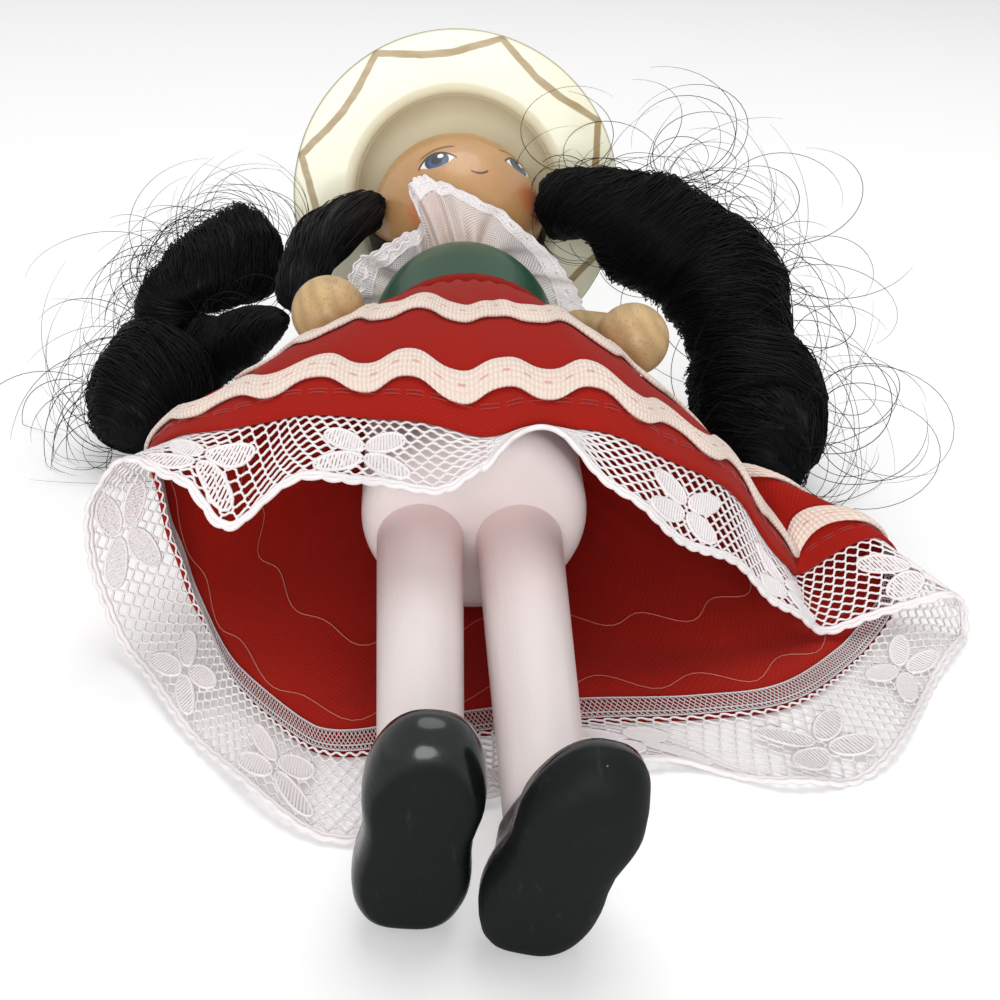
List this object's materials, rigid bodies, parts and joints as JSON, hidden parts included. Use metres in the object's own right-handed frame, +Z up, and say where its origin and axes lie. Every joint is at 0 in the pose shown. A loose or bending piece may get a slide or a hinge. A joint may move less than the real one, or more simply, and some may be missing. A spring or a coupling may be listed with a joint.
{
  "type": "clothespin doll",
  "caption": "Clothespin doll lying on its back: turned peg body, ball head under a sombrero, arms that swing at the shoulders, draped skirt with braid and lace, curled wig.",
  "frame": {"origin": "middle of the doll's width and length as it lies, on the floor under it", "axes": "+Y from the shoes to the hat along the floor, +Z up from the doll's back to its front, +X to the doll's own left"},
  "size_m": [0.113, 0.1514, 0.0566],
  "materials": {
    "natural_wood": "sanded, clear sealed",
    "skin_paint": "painted, satin",
    "body_paint": "painted, gloss",
    "leg_paint": "painted, gloss",
    "shoe_paint": "painted, gloss",
    "hat_lacquer": "cream, satin",
    "red_cloth": "plain weave",
    "braid": "ribbed weave",
    "lace": "open net",
    "elastic": "woven",
    "hair": "straight and curled fibre, slight sheen"
  },
  "bodies": {
    "doll": {"body": "body_paint", "neck": "natural_wood", "head": "skin_paint", "sombrero": "hat_lacquer", "left_leg": "leg_paint", "right_leg": "leg_paint", "left_shoe": "shoe_paint", "right_shoe": "shoe_paint", "shoulder_pin": "natural_wood", "waist_casing": "red_cloth", "waist_elastic": "elastic", "skirt": "red_cloth", "upper_braid": "braid", "lower_braid": "braid", "lace_hem": "lace", "lace_collar": "lace", "wig_cap": "hair", "right_face_lock": "hair", "right_upper_ringlet": "hair", "right_lower_ringlet": "hair", "left_ringlet": "hair"},
    "left_arm_body": {"left_arm": "natural_wood", "left_hand": "natural_wood"},
    "right_arm_body": {"right_arm": "natural_wood", "right_hand": "natural_wood"}
  },
  "joints": [
    {"name": "left_shoulder", "type": "hinge", "parent": "doll", "child": "left_arm_body", "pos_m": [0.0138, 0.0224, 0.02245], "axis": [-1, 0, 0], "range_deg": [0, 100]},
    {"name": "right_shoulder", "type": "hinge", "parent": "doll", "child": "right_arm_body", "pos_m": [-0.0178, 0.0224, 0.02245], "axis": [-1, 0, 0], "range_deg": [0, 80]}
  ]
}
